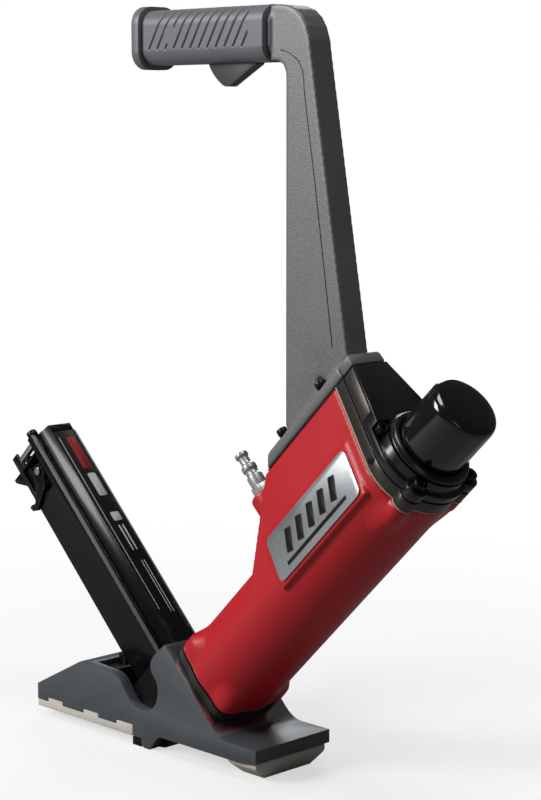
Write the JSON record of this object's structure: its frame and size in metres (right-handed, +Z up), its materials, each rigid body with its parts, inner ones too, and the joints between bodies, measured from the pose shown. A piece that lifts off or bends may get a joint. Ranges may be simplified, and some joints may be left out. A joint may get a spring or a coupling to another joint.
{
  "type": "flooring nailer",
  "caption": "Mallet-struck pneumatic flooring nailer: slanted driver housing on a foot, upright handle, angled cleat magazine and a sprung strike cap.",
  "frame": {"origin": "middle of the rest pad's underside, which is the floor board's face", "axes": "+Z up from the board, +X towards the toe along the tool, +Y across it to the side away from the nameplate"},
  "size_m": [0.5201, 0.083, 0.588],
  "materials": {
    "foot": "slate gray casting, ground bright on the sloped seat",
    "pad": "pale wear plastic, matt",
    "nose": "black oxide",
    "base": "black, matt",
    "housing": "red powder coat on a die casting, fine texture",
    "plate": "brushed, blank",
    "fitting": "bright plated",
    "liner": "honed",
    "bumper": "black, satin",
    "driver": "ground",
    "valve": "natural acetal",
    "gasket": "pale fibre sheet",
    "headplate": "gray brown anodised",
    "cap": "black, glossy",
    "handle": "dark gray textured coat",
    "grip": "gray, grooved",
    "trigger": "dark gray",
    "spring": "drawn wire",
    "magazine": "black anodised extrusion",
    "label": "black film with plain bars",
    "rail": "black coat",
    "strap": "bright",
    "bolt": "black oxide"
  },
  "bodies": {
    "body": {"foot_casting": "foot", "rest_pad": "pad", "toe_glide": "pad", "nose_block": "nose", "base_plate": "base", "driver_housing": "housing", "nameplate": "plate", "plug_bushing": "fitting", "air_plug": "fitting", "cylinder_liner": "liner", "piston_bumper": "bumper", "valve_body": "valve", "head_gasket": "gasket", "head_plate": "headplate", "mid_gasket": "base", "upper_plate": "headplate", "head_cap": "cap", "cap_collar": "base", "strike_spring": "spring", "handle_frame": "handle", "flange_gasket": "base", "handle_heel": "handle", "grip_sleeve": "grip", "grip_end_cap": "grip", "grip_screw": "bolt", "trigger_pin": "driver", "trigger_spring": "spring", "magazine_cover": "magazine", "label_strip": "label", "cleat_rail": "rail", "end_strap": "strap", "pusher_band": "spring", "lever_pin": "driver", "end_screw_near": "bolt", "end_screw_far": "bolt", "foot_bolt_1": "bolt", "head_bolt_1": "bolt", "handle_bolt_1": "bolt", "foot_bolt_2": "bolt", "head_bolt_2": "bolt", "handle_bolt_2": "bolt", "foot_bolt_3": "bolt", "head_bolt_3": "bolt", "handle_bolt_3": "bolt", "foot_bolt_4": "bolt", "head_bolt_4": "bolt", "handle_bolt_4": "bolt"},
    "strike": {"strike_cap": "cap", "strike_stem": "driver"},
    "driver": {"piston": "driver", "piston_seal": "bumper", "driver_blade": "driver"},
    "trigger": {"trigger": "trigger"},
    "pusher": {"pusher": "rail"},
    "lever": {"release_lever": "rail"}
  },
  "joints": [
    {"name": "strike_slide", "type": "slide", "parent": "body", "child": "strike", "axis": [-0.7071, 0, -0.7071], "range_m": [0, 0.0085], "stiffness_N_per_m": 1500, "springref_m": -0.004, "deforming": ["strike_spring"]},
    {"name": "piston_slide", "type": "slide", "parent": "body", "child": "driver", "axis": [-0.7071, 0, -0.7071], "range_m": [0, 0.096]},
    {"name": "trigger_hinge", "type": "hinge", "parent": "body", "child": "trigger", "pos_m": [0.12015, 0, 0.545], "axis": [0, -1, 0], "range_deg": [0, 6], "stiffness_Nm_per_rad": 0.6, "springref_deg": -5.73, "deforming": ["trigger_spring"]},
    {"name": "pusher_slide", "type": "slide", "parent": "body", "child": "pusher", "axis": [0.7071, 0, -0.7071], "range_m": [0, 0.176], "deforming": ["pusher_band"]},
    {"name": "lever_hinge", "type": "hinge", "parent": "body", "child": "lever", "pos_m": [-0.08931, -0.0135, 0.19516], "axis": [0, -1, 0], "range_deg": [0, 10], "stiffness_Nm_per_rad": 0.3, "springref_deg": -5.73}
  ]
}
